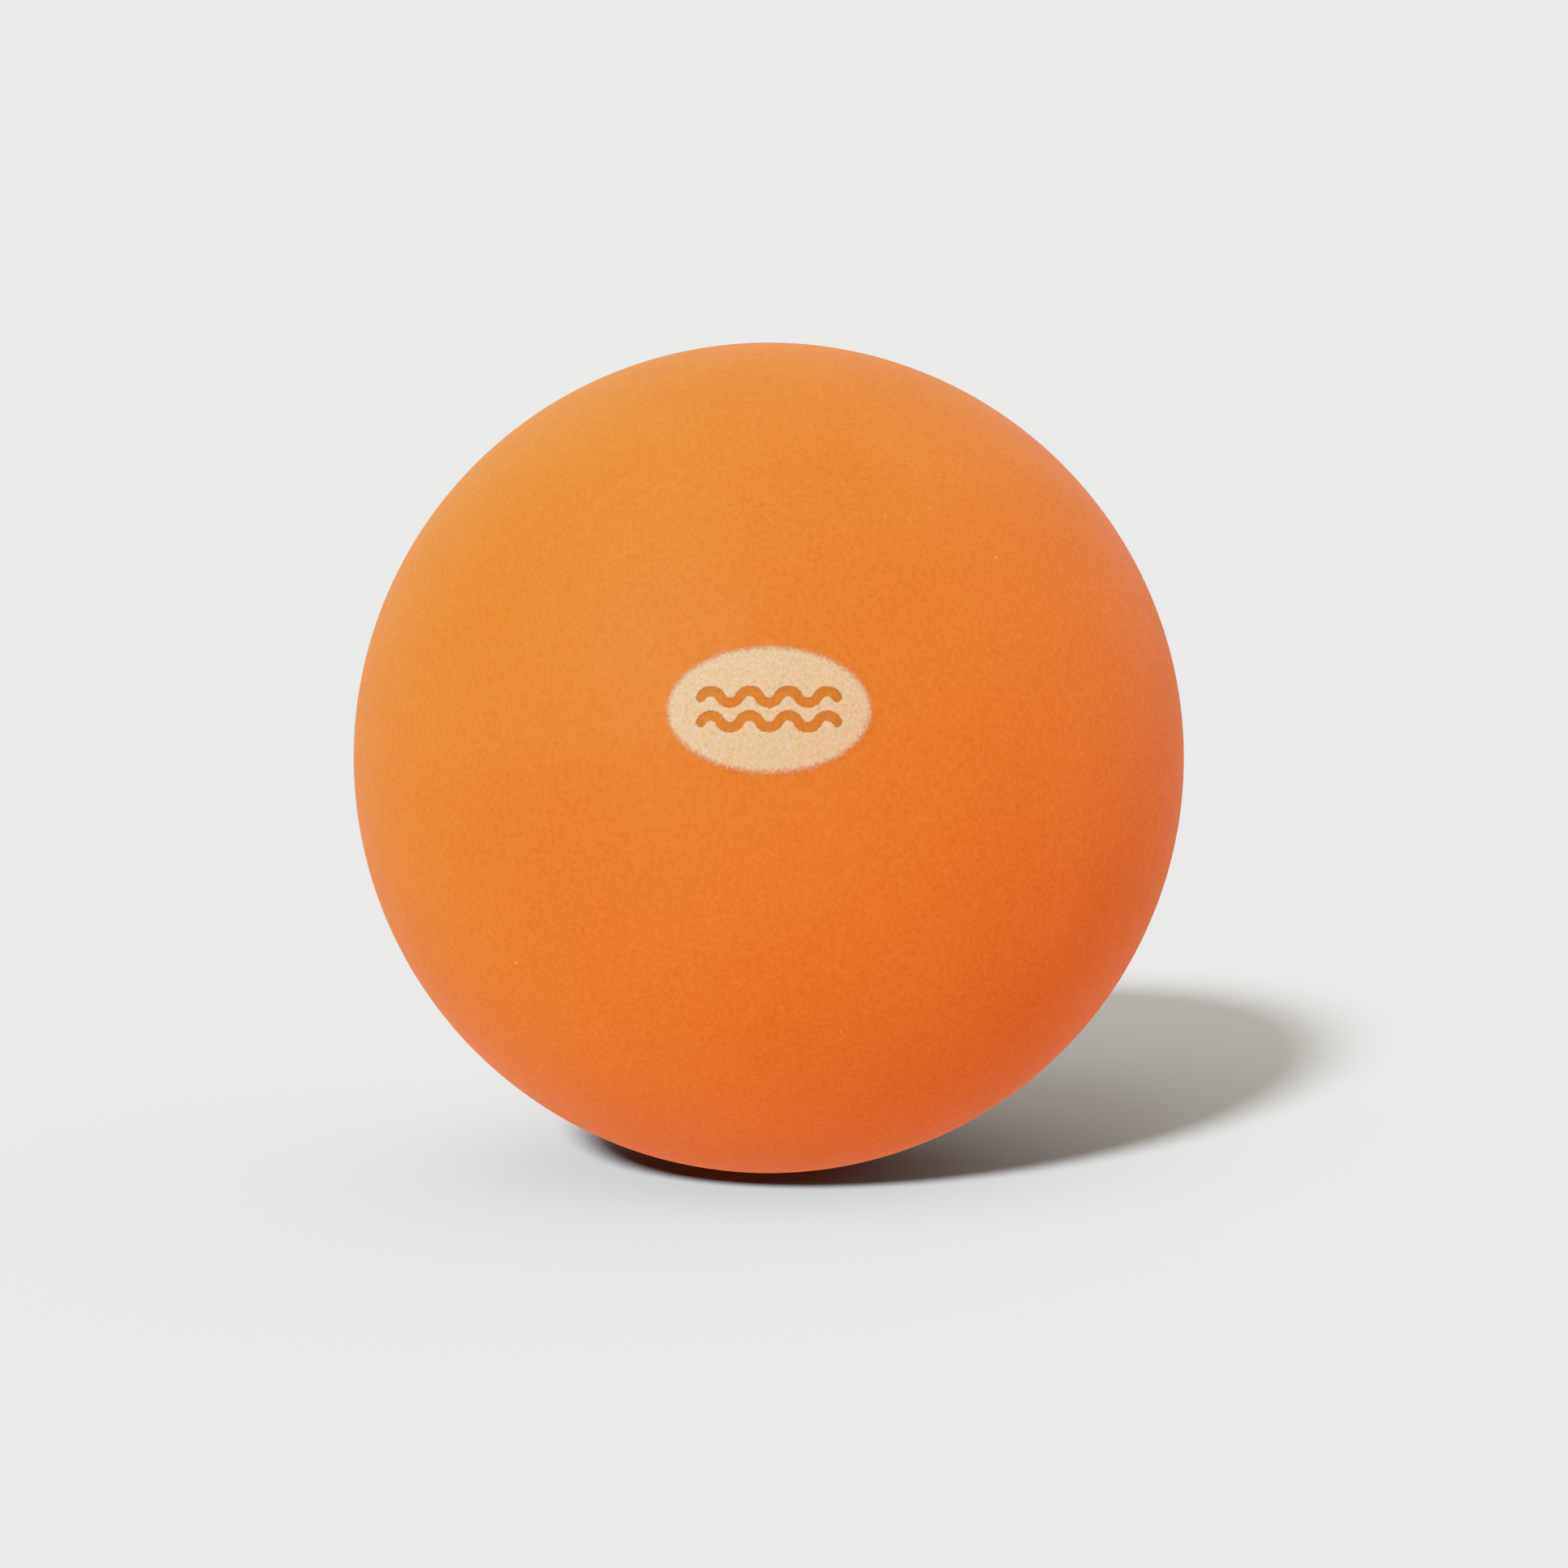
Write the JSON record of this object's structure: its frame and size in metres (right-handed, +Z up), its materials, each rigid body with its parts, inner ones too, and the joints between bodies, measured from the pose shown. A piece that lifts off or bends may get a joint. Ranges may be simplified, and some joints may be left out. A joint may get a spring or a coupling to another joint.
{
  "type": "massage ball",
  "caption": "Hollow air-filled soft hand ball for massage, with a smooth matte skin, a small printed badge and a pull-out needle valve plug.",
  "frame": {"origin": "the centre of the ball", "axes": "+Z is up as the ball lies on a floor; the valve's axis is +Y, at the back; the printed badge faces -Y, raised 8 degrees above the horizontal"},
  "size_m": [0.09, 0.0898, 0.09],
  "materials": {
    "skin_rubber": "smooth matte soft-touch orange",
    "valve_rubber": "matte orange, a little darker than the skin",
    "plug_rubber": "satin cream",
    "ink": "matte cream pad-printing ink with a grainy, slightly blurred edge"
  },
  "bodies": {
    "ball": {"ball_skin": "skin_rubber", "valve_boot": "valve_rubber", "print_badge": "ink"},
    "plug": {"valve_plug": "plug_rubber"}
  },
  "joints": [
    {"name": "plug_pull", "type": "slide", "parent": "ball", "child": "plug", "axis": [0, 1, 0], "range_m": [0, 0.02]}
  ]
}
